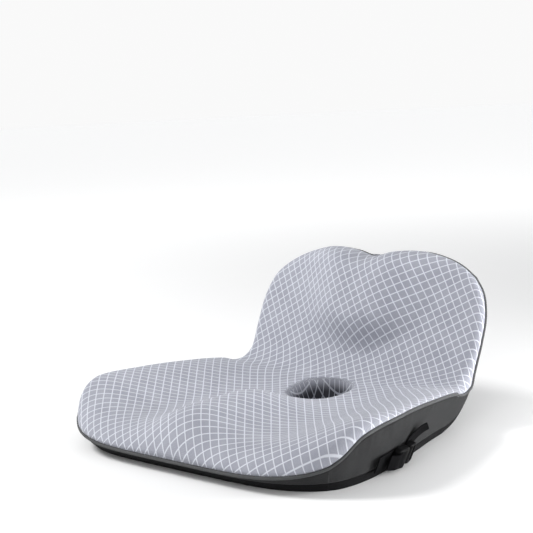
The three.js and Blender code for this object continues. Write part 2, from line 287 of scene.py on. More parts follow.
@dataclass(frozen=True)
class Outline:
    """Edge of the top panel in (x, s), and the grid of points spread over it."""

    across: int = 232
    along: int = 336
    front_centre: float = -221 * MM
    front_squareness: float = 5.0
    crowding: float = 1.3
    side: tuple[tuple[float, float], ...] = (
        (208, -181), (219, -165), (226, -142), (229, -104), (224, -50), (216, 0), (206, 60),
        (198, 108), (191, 150), (188, 185), (189, 225), (187, 262), (177, 292), (160, 313),
    )
    top: tuple[tuple[float, float], ...] = (
        (160, 313), (135, 328), (106, 338), (74, 343), (37, 340), (0, 332),
    )

    def front_edge(self, u: Array) -> Array:
        """The bowed front edge: a level run that falls back to its corners by a power of x.

        Args:
            u: place across, from -1 to 1.

        Returns:
            x and s of the edge for each u.
        """
        corner_x, corner_s = np.array(self.side[0]) * MM
        x = corner_x * np.sin(u * np.pi / 4) / np.sin(np.pi / 4)
        bow = 1.0 - np.abs(x / corner_x) ** self.front_squareness
        return np.stack([x, corner_s + (self.front_centre - corner_s) * bow], axis=-1)

    def grid(self) -> tuple[Array, Array, Array]:
        """Spreads a grid over the panel as a Coons patch between its four edges.

        Returns:
            u for each column, the (rows, columns, 2) grid of (x, s), and the half width of each row.
        """
        steps = np.linspace(-1.0, 1.0, self.across + 1)
        u = np.sin(steps * self.crowding) / np.sin(self.crowding)
        t = np.linspace(0.0, 1.0, self.along + 1)
        v = 0.6 * t + 0.2 * (1.0 - np.cos(np.pi * t))
        side = smooth_path(list(self.side), v)[:, None]
        mirrored = [(-x, s) for x, s in self.top]
        top = smooth_path([*mirrored, *reversed(self.top[:-1])], (u + 1.0) / 2.0)[None]
        front = self.front_edge(u)[None]
        u_, v_ = u[None, :], v[:, None]
        corner, shoulder = np.array(self.side[0]) * MM, np.array(self.top[0]) * MM
        x = (1 - v_) * front[..., 0] + v_ * top[..., 0] + u_ * side[..., 0]
        x = x - u_ * ((1 - v_) * corner[0] + v_ * shoulder[0])
        s = (1 - v_) * front[..., 1] + v_ * top[..., 1] + side[..., 1]
        s = s - ((1 - v_) * corner[1] + v_ * shoulder[1])
        return u, np.stack([x, s], axis=-1), side[:, 0, 0]


@dataclass(frozen=True)
class Contours:
    """Heights over the underside: the seam, the side banks, troughs, ridge, recess and back."""

    seam: Track = track([(-221, 19), (-182, 34), (-140, 63), (-58, 70), (19, 66), (85, 59),
                         (115, 49), (137, 35), (152, 23), (168, 12), (190, 10)])
    crest: Track = track([(-221, 46), (-182, 62), (-150, 73), (-125, 77), (-58, 74), (19, 69),
                          (85, 61), (115, 52), (137, 42), (160, 30), (190, 20), (340, 19)])
    trough: Track = track([(-221, 46), (-110, 45), (-20, 42), (30, 42), (66, 45), (90, 48),
                           (115, 45), (137, 39), (160, 31), (190, 25), (300, 27), (340, 26)])
    draw_in: Track = track([(-221, 19), (-138, 21), (-58, 23), (0, 25), (97, 28), (130, 20),
                            (165, 8), (190, 5)])
    rim: Track = track([(-221, 11), (95, 12), (150, 5.2), (168, 4.4)])
    bank_inner: float = 134 * MM
    bank_outer: float = 2 * MM
    ridge_rise: float = 28 * MM
    ridge_half_width: float = 52 * MM
    ridge_fade: tuple[float, float] = (25 * MM, -80 * MM)
    recess_centre: float = 66 * MM
    recess_half: tuple[float, float] = (45 * MM, 53 * MM)
    recess_depth: float = 34 * MM
    recess_floor: float = 0.6
    recess_rim: float = 1.03
    bulge_rise: float = 27 * MM
    bulge_groove: float = 90 * MM
    bulge_from: float = 200 * MM
    bulge_spread: float = 0.4
    bulge_full: float = 0.2
    bulge_rows: tuple[float, float] = (186 * MM, 252 * MM)
    cleft_depth: float = 6 * MM
    cleft_half_width: float = 27 * MM
    cleft_rows: tuple[float, float] = (275 * MM, 338 * MM)
    roll_side: float = 15 * MM
    roll_front: float = 62 * MM
    roll_top: float = 30 * MM
    roll_power: float = 1.9
    wall_power: float = 1.4

    def foam(self, x: Array, s: Array, half_width: Array) -> Array:
        """Height of the foam before its edges roll over.

        Args:
            x: across the seat.
            s: along the underside.
            half_width: half the panel's width in that row.

        Returns:
            The height above the underside.
        """
        trough = self.trough(s)
        bank = smooth(self.bank_inner, self.bank_outer, half_width - np.abs(x))
        ridge = bell(x, self.ridge_half_width) * smooth(*self.ridge_fade, s)
        groove = self.bulge_groove + self.bulge_spread * (s - self.bulge_from)
        foot, round_from = self.bulge_rows
        below = np.maximum(0.0, round_from - s) / (round_from - foot)
        bulge = smooth(1.0, self.bulge_full, np.hypot(x / groove, below))
        cleft = bell(x, self.cleft_half_width) * smooth(*self.cleft_rows, s)
        height = trough + (self.crest(s) - trough) * bank + self.ridge_rise * ridge
        height = height + self.bulge_rise * bulge - self.cleft_depth * cleft
        return height - self.recess_depth * self.recess_share(x, s)

    def in_recess(self, x: Array, s: Array) -> Array:
        """Elliptical distance from the recess's centre: 1 on its nominal edge."""
        half_x, half_s = self.recess_half
        return np.hypot(x / half_x, (s - self.recess_centre) / half_s)

    def recess_share(self, x: Array, s: Array) -> Array:
        """How far down in the recess a place is: 0 outside its rim and 1 on its floor."""
        return smooth(self.recess_rim, self.recess_floor, self.in_recess(x, s))

    def wall_inset(self, s: Array, h: Array) -> Array:
        """How far the side wall has drawn in at height h: nothing at the seam, most at the base."""
        above = np.clip(h / self.seam(s), 0.0, 1.0)
        return self.draw_in(s) * (1.0 - above) ** self.wall_power


# ------------------------------------------------------------------ shader node groups
class Graph:
    """A small helper that adds and links nodes in one node tree.

    A Mix node has sockets of one name for several types, so its colour sockets go by number.
    """

    mix_colours: tuple[int, int] = (6, 7)
    mix_result: int = 2

    def __init__(self, tree: bpy.types.NodeTree) -> None:
        """Keeps the tree that takes the nodes."""
        self.tree = tree

    def put(self, source: object, socket: bpy.types.NodeSocket) -> None:
        """Links an output to a socket, or sets the socket's own value.

        Args:
            source: the output, or a number, vector or colour.
            socket: the input that takes it.
        """
        if isinstance(source, bpy.types.NodeSocket):
            self.tree.links.new(source, socket)
        else:
            socket.default_value = source

    def feed(self, node: bpy.types.Node, sources: dict[str, object]) -> None:
        """Puts each source into the node's input of that name."""
        for key, source in sources.items():
            self.put(source, node.inputs[key])

    def node(self, kind: str, sources: dict[str, object] | None = None, **settings: object) -> bpy.types.Node:
        """Adds a node.

        Args:
            kind: its type.
            sources: values or outputs for its named inputs.
            settings: its properties.

        Returns:
            The node.
        """
        made = self.tree.nodes.new(kind)
        for key, value in settings.items():
            setattr(made, key, value)
        self.feed(made, sources or {})
        return made

    def chain(self, made: bpy.types.Node, *values: object) -> bpy.types.NodeSocket:
        """Puts values into a node's first inputs, in order.

        Args:
            made: the node.
            values: numbers or outputs.

        Returns:
            The node's first output.
        """
        for source, socket in zip(values, made.inputs):
            self.put(source, socket)
        return made.outputs[0]

    def math(self, operation: str, *values: object) -> bpy.types.NodeSocket:
        """Adds a Math node of numbers or outputs and returns its output."""
        return self.chain(self.node("ShaderNodeMath", operation=operation), *values)

    def step(self, value: object, start: object, end: object, low: float = 0.0,
             high: float = 1.0) -> bpy.types.NodeSocket:
        """Adds a smooth step of value, low at start and high at end."""
        made = self.node("ShaderNodeMapRange", interpolation_type="SMOOTHSTEP")
        return self.chain(made, value, start, end, low, high)

    def weighted(self, first: object, share: object, second: object,
                 second_share: object) -> bpy.types.NodeSocket:
        """Adds the sum of two values, each times its share."""
        return self.math("ADD", self.math("MULTIPLY", first, share),
                         self.math("MULTIPLY", second, second_share))

    def zigzag(self, value: object) -> bpy.types.NodeSocket:
        """Adds a zigzag of value: 0.5 at each whole number, and 0 halfway between them."""
        return self.math("ABSOLUTE", self.math("SUBTRACT", self.math("FRACT", value), 0.5))

    def split(self, vector: object) -> bpy.types.bpy_prop_collection:
        """Adds a Separate XYZ node and returns its outputs."""
        return self.node("ShaderNodeSeparateXYZ", {"Vector": vector}).outputs

    def noise(self, vector: object, scale: float, detail: float = 2.0) -> bpy.types.NodeSocket:
        """Adds a noise texture and returns its factor."""
        sources = {"Vector": vector, "Scale": scale, "Detail": detail}
        return self.node("ShaderNodeTexNoise", sources).outputs["Fac"]

    def mix(self, factor: object, low: object, high: object) -> bpy.types.NodeSocket:
        """Adds a colour mix.

        Args:
            factor: 0 gives the low colour and 1 the high one.
            low: a colour or an output.
            high: a colour or an output.

        Returns:
            Its colour output.
        """
        made = self.node("ShaderNodeMix", {"Factor": factor}, data_type="RGBA")
        for source, index in zip((low, high), self.mix_colours):
            self.put(source, made.inputs[index])
        return made.outputs[self.mix_result]

    def bump(self, shader: bpy.types.Node, height: object, distance: float, strength: float) -> None:
        """Adds a bump to the shader's normal.

        Args:
            shader: the shader.
            height: the height's output.
            distance: how high a height of 1 stands, in metres.
            strength: the bump's strength.
        """
        made = self.node("ShaderNodeBump", {"Distance": distance, "Strength": strength, "Height": height})
        self.put(made.outputs[0], shader.inputs["Normal"])


def new_material(name: str) -> tuple[bpy.types.Material, Graph, bpy.types.Node]:
    """Starts a material and returns it with its graph and its shader."""
    made = bpy.data.materials.new(name)
    made.use_nodes = True
    return made, Graph(made.node_tree), made.node_tree.nodes["Principled BSDF"]


def new_group(name: str, inputs: dict[str, float | None], outputs: list[str]) -> tuple:
    """Starts a shader node group.

    Args:
        name: the group's name.
        inputs: socket names, each with its default number, or None for a vector.
        outputs: names of its number outputs.

    Returns:
        The group, its helper graph, and its input and output nodes.
    """
    group = bpy.data.node_groups.new(name, "ShaderNodeTree")
    for key, default in inputs.items():
        kind = "NodeSocketVector" if default is None else "NodeSocketFloat"
        socket = group.interface.new_socket(key, in_out="INPUT", socket_type=kind)
        if default is not None:
            socket.default_value = default
    for key in outputs:
        group.interface.new_socket(key, in_out="OUTPUT", socket_type="NodeSocketFloat")
    graph = Graph(group)
    return group, graph, graph.node("NodeGroupInput").outputs, graph.node("NodeGroupOutput").inputs


def lattice_group(bend_scale: float = 60.0, core: float = 0.55, fade: float = 1.35) -> bpy.types.NodeTree:
    """Diagonal grid of fine lines: two families of bands, each round whole multiples of the pitch.

    The cloth coordinates are turned by Turn, wobbled by a soft noise, and divided by Pitch. A line is
    where the distance to the nearest whole number is under about half its width.

    Args:
        bend_scale: scale of the noise that wobbles the lines.
        core: share of the half width up to which a line is full.
        fade: share of the half width at which it has faded out.

    Returns:
        The group.
    """
    group, g, inputs, outputs = new_group(
        "lattice_lines",
        {"Vector": None, "Pitch": 0.0126, "Width": 0.13, "Turn": 0.96, "Wobble": 0.0005},
        ["Line", "Crossing"],
    )
    turned = g.node("ShaderNodeVectorRotate", {"Vector": inputs["Vector"], "Angle": inputs["Turn"]},
                    rotation_type="Z_AXIS")
    split = g.split(turned.outputs[0])
    wobble = g.math("SUBTRACT", g.noise(inputs["Vector"], bend_scale), 0.5)
    wobble = g.math("MULTIPLY", wobble, inputs["Wobble"])
    half = g.math("MULTIPLY", inputs["Width"], 0.5)
    inner, outer = g.math("MULTIPLY", half, core), g.math("MULTIPLY", half, fade)
    families = []
    for axis in (0, 1):
        place = g.math("DIVIDE", g.math("ADD", split[axis], wobble), inputs["Pitch"])
        whole = g.zigzag(g.math("ADD", place, 0.5))
        families.append(g.step(whole, inner, outer, 1.0, 0.0))
    g.put(g.math("MAXIMUM", *families), outputs["Line"])
    g.put(g.math("MULTIPLY", *families), outputs["Crossing"])
    return group


def knit_group(loop_side: tuple[float, float] = (0.5, 0.12), loop_end: float = 0.4,
               mottle: tuple[float, float] = (38.0, 0.6),
               fleck: tuple[float, float] = (900.0, 0.4)) -> bpy.types.NodeTree:
    """Fine knit: columns of small V-shaped loops, as a height, and a mottled tone.

    Loops are the product of a ripple across the columns and one along them whose phase shifts with
    the distance from the column's middle, which slants its two sides into a V.

    Args:
        loop_side: where a loop's side starts and is full, from the column's middle.
        loop_end: distance from a row's middle at which a loop is full, in rows.
        mottle: scale and share of the coarse noise in the tone.
        fleck: scale and share of the fine noise in the tone.

    Returns:
        The group.
    """
    group, g, inputs, outputs = new_group(
        "knit_loops", {"Vector": None, "Pitch": 0.0011, "Slant": 1.0}, ["Height", "Tone"]
    )
    split = g.split(inputs["Vector"])
    side = g.zigzag(g.math("DIVIDE", split[0], inputs["Pitch"]))
    rows = g.math("DIVIDE", split[1], inputs["Pitch"])
    ripple = g.zigzag(g.math("ADD", rows, g.math("MULTIPLY", side, inputs["Slant"])))
    loop = g.math("MULTIPLY", g.step(side, *loop_side), g.step(ripple, 0.0, loop_end))
    g.put(loop, outputs["Height"])
    coarse = g.noise(inputs["Vector"], mottle[0], 3.0)
    fine = g.noise(inputs["Vector"], fleck[0], 1.0)
    g.put(g.weighted(coarse, mottle[1], fine, fleck[1]), outputs["Tone"])
    return group


def weave_group(tone_scale: float = 420.0) -> bpy.types.NodeTree:
    """Plain weave or webbing: ribs across and along that pass over each other in turn.

    Args:
        tone_scale: scale of the noise in the tone.

    Returns:
        The group.
    """
    group, g, inputs, outputs = new_group(
        "plain_weave", {"Vector": None, "Across": 0.0012, "Along": 0.0012}, ["Height", "Tone"]
    )
    split = g.split(inputs["Vector"])
    places = [g.math("DIVIDE", split[k], inputs[key]) for k, key in enumerate(("Across", "Along"))]
    warp, weft = (g.math("ABSOLUTE", g.math("SINE", g.math("MULTIPLY", p, np.pi))) for p in places)
    turn = g.math("MODULO", g.math("ADD", *(g.math("FLOOR", p) for p in places)), 2.0)
    over = g.math("ABSOLUTE", turn)
    g.put(g.weighted(warp, over, weft, g.math("SUBTRACT", 1.0, over)), outputs["Height"])
    g.put(g.noise(inputs["Vector"], tone_scale), outputs["Tone"])
    return group


class Texture(Enum):
    """The three cloth structures used on the cushion."""

    KNIT = "knit_loops"
    WEAVE = "plain_weave"
    LATTICE = "lattice_lines"


@dataclass(frozen=True)
class ClothFinish:
    """A cloth: its two tones, its roughness and sheen, and its loops or weave."""

    name: str
    low: tuple[float, float, float]
    high: tuple[float, float, float]
    texture: Texture = Texture.KNIT
    pitch: float = 1.1 * MM
    relief: float = 0.25 * MM
    roughness: float = 0.9
    sheen: float = 0.25
    specular: float = 0.25
    sheen_roughness: float = 0.45
    bump_strength: float = 0.8
    raised_gloss: float = 0.08
    tone_share: float = 0.75
    loop_shade_share: float = 0.35
    tone_range: tuple[float, float] = (0.15, 0.85)

    def start(self) -> tuple[bpy.types.Material, Graph, bpy.types.Node, bpy.types.Node]:
        """Starts the material.

        Returns:
            The material, its graph, its shader, and the node of its own cloth structure.
        """
        made, g, shader = new_material(self.name)
        g.feed(shader, {"Sheen Weight": self.sheen, "Sheen Roughness": self.sheen_roughness,
                        "Specular IOR Level": self.specular})
        cloth = g.node("ShaderNodeUVMap", uv_map="Cloth").outputs[0]
        group = bpy.data.node_groups[self.texture.value]
        structure = g.node("ShaderNodeGroup", node_tree=group)
        g.put(cloth, structure.inputs["Vector"])
        for key in ("Pitch", "Across", "Along"):
            if key in structure.inputs:
                structure.inputs[key].default_value = self.pitch
        return made, g, shader, structure

    def ground(self, g: Graph, structure: bpy.types.Node) -> bpy.types.NodeSocket:
        """The two tones mixed by the cloth's mottle, with painted shade darker between its loops or threads.

        Args:
            g: the material's graph.
            structure: the node of its cloth structure.

        Returns:
            The colour's output.
        """
        made = structure.outputs
        # the tone term is random mottle; the height term is painted shade, darker in the hollows between
        # loops or threads
        share = g.weighted(made["Tone"], self.tone_share, made["Height"], self.loop_shade_share)
        return g.mix(g.step(share, *self.tone_range), (*self.low, 1.0), (*self.high, 1.0))

    def finish(self, g: Graph, shader: bpy.types.Node, colour: object, height: object) -> None:
        """Feeds the shader its colour, its bump and a roughness that follows the height.

        Args:
            g: the material's graph.
            shader: its shader.
            colour: the colour's output.
            height: the height's output.
        """
        rough = g.math("SUBTRACT", self.roughness, g.math("MULTIPLY", height, self.raised_gloss))
        g.feed(shader, {"Base Color": colour, "Roughness": rough})
        g.bump(shader, height, self.relief, self.bump_strength)

    def material(self) -> bpy.types.Material:
        """A plain cloth, mottled between its two tones, with painted shade darker between its loops or
        threads.

        Returns:
            The material.
        """
        made, g, shader, structure = self.start()
        self.finish(g, shader, self.ground(g, structure), structure.outputs["Height"])
        return made


@dataclass(frozen=True)
class LatticeCloth(ClothFinish):
    """The top cloth: a grey knit with a raised diagonal grid of fine light lines, painted darker inside the
    recess as painted shade.
    """

    line: tuple[float, float, float] = (0.68, 0.70, 0.76)
    line_pitch: float = 10.3 * MM
    line_width: float = 0.135
    line_turn: float = np.radians(49.5)
    # painted shade: the darker ground and lines that the cloth is given inside the recess
    recess_painted_shade: tuple[float, float, float] = (0.030, 0.031, 0.040)
    recess_line_painted_shade: tuple[float, float, float] = (0.30, 0.31, 0.36)
    recess_painted_shade_range: tuple[float, float] = (0.05, 0.6)
    line_strength: tuple[float, float] = (0.70, 0.35)
    line_relief: float = 1.1
    loop_relief: float = 0.45
    crossing_relief: float = 0.15
    tone_share: float = 0.8
    loop_shade_share: float = 0.25
    tone_range: tuple[float, float] = (0.2, 0.85)

    def material(self) -> bpy.types.Material:
        """The mottled ground cloth with the light lines laid over it and raised a little. Inside the recess
        the ground and the lines are painted darker, as painted shade.

        Returns:
            The material.
        """
        made, g, shader, structure = self.start()
        lattice = g.node("ShaderNodeGroup", node_tree=bpy.data.node_groups[Texture.LATTICE.value])
        g.feed(lattice, {"Vector": structure.inputs["Vector"].links[0].from_socket,
                         "Pitch": self.line_pitch, "Width": self.line_width, "Turn": self.line_turn})
        line, crossing = lattice.outputs["Line"], lattice.outputs["Crossing"]
        tone, height = structure.outputs["Tone"], structure.outputs["Height"]
        # the recess mask fades the ground and the lines to darker copies, painted shade inside the recess
        recess = g.node("ShaderNodeAttribute", attribute_name="RecessPaintedShade").outputs["Fac"]
        painted_shade = g.step(recess, *self.recess_painted_shade_range)
        ground = g.mix(painted_shade, self.ground(g, structure), (*self.recess_painted_shade, 1.0))
        light = g.mix(painted_shade, (*self.line, 1.0), (*self.recess_line_painted_shade, 1.0))
        least, gain = self.line_strength
        strength = g.math("MULTIPLY", line, g.math("ADD", least, g.math("MULTIPLY", tone, gain)))
        raised = g.weighted(line, self.line_relief, height, self.loop_relief)
        raised = g.math("SUBTRACT", raised, g.math("MULTIPLY", crossing, self.crossing_relief))
        self.finish(g, shader, g.mix(strength, ground, light), raised)
        return made


@dataclass(frozen=True)
class MouldedPlastic:
    """Black moulded plastic with a faint spark-eroded grain and paler rubbed patches."""

    name: str = "black_plastic"
    colour: tuple[float, float, float] = (0.004, 0.004, 0.0045)
    rubbed: tuple[float, float, float] = (0.012, 0.012, 0.013)
    roughness: float = 0.34
    specular: float = 0.08
    grain_scale: float = 2600.0
    grain_roughness: float = 0.16
    grain_relief: float = 0.05 * MM
    bump_strength: float = 0.5
    rub_scale: float = 240.0
    rub_range: tuple[float, float] = (0.55, 0.78)

    def material(self) -> bpy.types.Material:
        """Builds the material on Object coordinates.

        Returns:
            The material.
        """
        made, g, shader = new_material(self.name)
        place = g.node("ShaderNodeTexCoord").outputs["Object"]
        grain = g.noise(place, self.grain_scale)
        worn = g.step(g.noise(place, self.rub_scale, 3.0), *self.rub_range)
        colour = g.mix(worn, (*self.colour, 1.0), (*self.rubbed, 1.0))
        rough = g.math("ADD", self.roughness, g.math("MULTIPLY", grain, self.grain_roughness))
        g.feed(shader, {"Base Color": colour, "Roughness": rough, "Specular IOR Level": self.specular})
        g.bump(shader, grain, self.grain_relief, self.bump_strength)
        return made


@dataclass
class Finishes:
    """Every finish of the cushion, made once."""

    top: bpy.types.Material = field(init=False)
    piping: bpy.types.Material = field(init=False)
    side: bpy.types.Material = field(init=False)
    base: bpy.types.Material = field(init=False)
    webbing: bpy.types.Material = field(init=False)
    plastic: bpy.types.Material = field(init=False)

    def __post_init__(self) -> None:
        """Builds the shared node groups and then the materials that use them."""
        for build in (lattice_group, knit_group, weave_group):
            build()
        self.top = LatticeCloth(
            "patterned_knit", (0.285, 0.293, 0.345), (0.410, 0.420, 0.475), sheen=0.15
        ).material()
        self.piping = ClothFinish(
            "piping_cloth", (0.055, 0.0565, 0.058), (0.115, 0.117, 0.120), pitch=0.9 * MM, sheen=0.1
        ).material()
        self.side = ClothFinish(
            "charcoal_knit", (0.014, 0.0143, 0.015), (0.041, 0.0415, 0.043), pitch=0.8 * MM, sheen=0.08,
            specular=0.1
        ).material()
        self.base = ClothFinish(
            "black_base_cloth", (0.004, 0.004, 0.0045), (0.011, 0.011, 0.012), Texture.WEAVE,
            pitch=1.0 * MM, sheen=0.02, specular=0.06,
        ).material()
        self.webbing = ClothFinish(
            "black_webbing", (0.002, 0.002, 0.0025), (0.009, 0.009, 0.010), Texture.WEAVE,
            pitch=1.6 * MM, relief=0.4 * MM, roughness=0.85, sheen=0.0, specular=0.04,
        ).material()
        self.plastic = MouldedPlastic().material()


# ------------------------------------------------------------------ the sewn cover over its foam
@dataclass
class Cover:
    """The foam form in its patterned top cloth, with piping, side band and base panel."""

    finishes: Finishes
    bend: Bend = Bend()
    outline: Outline = Outline()
    contours: Contours = Contours()
    cloth: float = 1.5 * MM
    base_cloth: float = 2.0 * MM
    gap: float = 0.3 * MM
    piping_radius: float = 2.0 * MM
    piping_proud: float = 1.5 * MM
    lip: float = 0.4 * MM
    gusset_end: float = 165 * MM
    pucker: float = 0.2 * MM
    pucker_pitch: float = 13 * MM
    side_share: float = 0.3
    front_share: float = 0.8
    recess_draw: float = 0.35
    recess_turn: float = np.radians(42.0)
    back_turn: float = np.radians(7.0)
    turn_from: float = 60 * MM
    turn_to: float = 200 * MM
    recess_edge: float = 0.97
    gather: float = 0.05
    gather_pitch: float = 3.1 * MM
    pucker_drift: float = 2.0
    pucker_drift_rate: float = 41.0
    pucker_room: float = 30 * MM
    band_hollow: float = 0.4
    band_proud: float = 0.2 * MM
    band_slope: float = 1.12

    def __post_init__(self) -> None:
        """Works out the panel's grid and the loop of its edge."""
        self.u, self.grid, self.half_width = self.outline.grid()
        across, along = self.outline.across, self.outline.along
        columns = np.concatenate([np.arange(across), np.full(along, across),
                                  np.arange(across, 0, -1), np.zeros(along, int)])
        rows = np.concatenate([np.zeros(across, int), np.arange(along),
                               np.full(across, along), np.arange(along, 0, -1)])
        self.edge_cells = (rows, columns)
        self.edge = self.grid[rows, columns]
        ahead, behind = np.roll(self.edge, -1, axis=0), np.roll(self.edge, 1, axis=0)
        along_edge = ahead - behind
        along_edge /= np.linalg.norm(along_edge, axis=1, keepdims=True)
        self.inward = np.stack([-along_edge[:, 1], along_edge[:, 0]], axis=-1)
        self.step = np.linalg.norm(ahead - self.edge, axis=1)
        self.run = np.concatenate([[0.0], np.cumsum(self.step)[:-1]])

    def top_points(self, level: bool = False) -> Array:
        """Places of the panel's grid: foam heights, with quarter rolls down to the seam.

        Args:
            level: whether each row is levelled at the mean of its bank and trough, which leaves
                only the rolled edges and the bend.

        Returns:
            (rows, columns, 3) places.
        """
        c = self.contours
        x, s = self.grid[..., 0], self.grid[..., 1]
        half = self.half_width[:, None]
        seam = c.seam(s)
        side = quarter_roll((1.0 - np.abs(self.u)) * half, c.roll_side, c.roll_power)
        front = quarter_roll(s - self.grid[:1, :, 1], c.roll_front, c.roll_power)
        top = quarter_roll(self.grid[-1:, :, 1] - s, c.roll_top, c.roll_power)
        foam = 0.5 * (c.crest(s) + c.trough(s)) if level else c.foam(x, s, half)
        height = seam + (foam - seam) * side * front * top
        return self.bend.place(x, s, height)

    def cloth_map(self) -> Array:
        """Cloth coordinates of the grid, which keep the pattern at its true size.

        They are x and s, each with the length that the rolled edges and the bend add or take away
        along the grid's rows and columns, taken only in part because the knit stretches there.
        Inside the recess they are drawn closer and turned, so that the diamonds there are smaller
        and lie on a slant of their own. The knit turns a little as it goes round the bend.

        Returns:
            (rows, columns, 2) cloth coordinates in metres.
        """
        x, s = self.grid[..., 0], self.grid[..., 1]
        points = self.top_points(level=True)
        middle = int(np.argmin(np.abs(s[:, self.outline.across // 2])))
        excess = []
        for axis, start in ((1, self.outline.across // 2), (0, middle)):
            on_form = np.linalg.norm(np.diff(points, axis=axis), axis=-1)
            on_plan = np.linalg.norm(np.diff(self.grid, axis=axis), axis=-1)
            gained = np.cumsum(on_form - on_plan, axis=axis)
            gained = np.insert(gained, 0, 0.0, axis=axis)
            excess.append(gained - np.take(gained, [start], axis=axis))
        c = self.contours
        inside = c.in_recess(x, s) < self.recess_edge
        drawn = 1.0 + self.recess_draw * inside
        across = x * drawn + self.side_share * excess[0]
        along = (s - c.recess_centre) * drawn + c.recess_centre + self.front_share * excess[1]
        along = along - self.turn_from
        turn = self.back_turn * smooth(self.turn_from, self.turn_to, s)
        turn = turn + self.recess_turn * inside
        return np.stack([across * np.cos(turn) - along * np.sin(turn),
                         across * np.sin(turn) + along * np.cos(turn)], axis=-1)

    def ring(self, inset: Array | float, height: Array, follow_wall: bool = True) -> Array:
        """One ring of points round the cushion.

        Args:
            inset: distance in from the wall's surface.
            height: height above the underside.
            follow_wall: whether the wall's own draw-in at that height is added to the inset.

        Returns:
            (loop, 3) places.
        """
        s = self.edge[:, 1]
        reach = inset + (self.contours.wall_inset(s, height) if follow_wall else 0.0)
        moved = self.edge + self.inward * np.broadcast_to(reach, s.shape)[:, None]
        return self.bend.place(moved[:, 0], moved[:, 1], height)

    def ring_flat(self, height: Array | float) -> Array:
        """Cloth coordinates of a ring: the run round the edge and the height."""
        return np.stack([self.run, np.broadcast_to(height, self.run.shape)], axis=-1)

    def fill(self, surface: Surface, loop: Array, face_up: bool) -> None:
        """Closes a ring with long flat quads from its left side to its right side.

        The front and top runs pair off from their two ends to the middle.

        Args:
            surface: the surface that takes the quads.
            loop: the ring's indices.
            face_up: whether the fill faces up.
        """
        across, along = self.outline.across, self.outline.along
        half = across // 2
        left = np.concatenate([loop[half::-1], loop[2 * across + along:][::-1],
                               loop[across + along + half: 2 * across + along][::-1]])
        right = np.concatenate([loop[half: across], loop[across: across + along],
                                loop[across + along: across + along + half + 1]])
        surface.rungs(left, right, face_up)

    def body(self) -> bpy.types.Object:
        """The filled form: top panel, lip behind the piping, walls, and underside.

        Returns:
            The piece.
        """
        c, s = self.contours, self.edge[:, 1]
        surface = Surface()
        flat = self.cloth_map()
        top = surface.add(self.top_points(), flat)
        surface.strip(top)
        behind = 2 * self.piping_radius + self.lip + self.gap
        skin = self.cloth + self.lip
        wall_top = c.seam(s) - behind - self.gap
        low = np.full_like(s, self.base_cloth + self.lip)
        rows, columns = self.edge_cells
        section = [(skin, h) for h in (low, c.rim(s), (wall_top + c.rim(s)) / 2, wall_top)]
        section.append((behind, c.seam(s) - self.gap))
        rings = [surface.add(self.ring(inset, h), flat[rows, columns]) for inset, h in section]
        rings.append(top[rows, columns])
        surface.strip(np.stack(rings), closed=True)
        self.fill(surface, rings[0], face_up=False)
        piece = surface.build("cushion_cover", self.finishes.top)
        # how far down in the recess each top point lies; the top cloth paints shade there from it
        share = np.zeros(surface.count, dtype=np.float32)
        share[top.ravel()] = c.recess_share(self.grid[..., 0], self.grid[..., 1]).ravel()
        piece.data.attributes.new("RecessPaintedShade", "FLOAT", "POINT").data.foreach_set("value", share)
        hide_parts("cushion_body")
        return piece

    def piping(self, sides: int = 12) -> bpy.types.Object:
        """Rolled seam all round: a round tube just under the panel's edge, gathered a little.

        Args:
            sides: number of sides of the tube.

        Returns:
            The piece.
        """
        c, s = self.contours, self.edge[:, 1]
        surface = Surface()
        gather = 1.0 + self.gather * np.sin(self.run * 2 * np.pi / self.gather_pitch)
        rows = []
        for angle in (np.arange(sides) + 0.5) * 2 * np.pi / sides:
            height = c.seam(s) - self.gap - self.lip - self.piping_radius
            height = height + self.piping_radius * gather * np.sin(angle)
            inset = self.piping_radius - self.piping_proud - self.piping_radius * gather * np.cos(angle)
            flat = self.ring_flat(self.piping_radius * angle)
            rows.append(surface.add(self.ring(inset, height, follow_wall=False), flat))
        rows.append(rows[0])
        surface.strip(np.stack(rows), closed=True)
        piece = surface.build("seam_piping_roll", self.finishes.piping)
        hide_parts("seam_piping")
        return piece

    def side_band(self, steps: int = 16) -> bpy.types.Object:
        """Charcoal band between piping and rim, with small puckers that die out below the seam.

        Args:
            steps: number of rows from the rim to the piping.

        Returns:
            The piece.
        """
        c = self.contours
        keep = self.edge[:, 1] < self.gusset_end
        first = int(np.argmax(~keep & np.roll(keep, -1))) + 1
        order = (first + np.arange(keep.sum())) % len(keep)
        s = self.edge[:, 1]
        bottom = c.rim(s) + self.gap
        top = c.seam(s) - 2 * self.piping_radius - self.lip - 2 * self.gap
        shares = np.linspace(0.0, 1.0, steps)
        surface = Surface()
        rows = []
        for inner, share in [(0.0, t) for t in shares] + [(1.0, t) for t in shares[::-1]]:
            height = bottom + (top - bottom) * share
            room = np.clip((top - bottom) / self.pucker_room, 0.0, 1.0) * (1.0 - inner)
            drift = self.pucker_drift * np.sin(self.run * self.pucker_drift_rate)
            ripple = np.sin(self.run * 2 * np.pi / self.pucker_pitch + drift)
            hollow = self.band_hollow * np.sin(np.pi * share)
            slack = self.pucker * room * (ripple * share**3 - hollow)
            inset = self.cloth * inner - slack - self.band_proud * (1.0 - inner)
            place = self.ring(inset, height)[order]
            rows.append(surface.add(place, self.ring_flat(height)[order]))
        rows.append(rows[0])
        loop = np.stack(rows)
        surface.strip(loop)
        outer, inner_rows = loop[:steps], loop[steps: 2 * steps][::-1]
        for end, turned in ((0, False), (-1, True)):
            surface.rungs(outer[:, end], inner_rows[:, end], turned)
        piece = surface.build("side_band", self.finishes.side)
        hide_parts("side_gusset")
        return piece

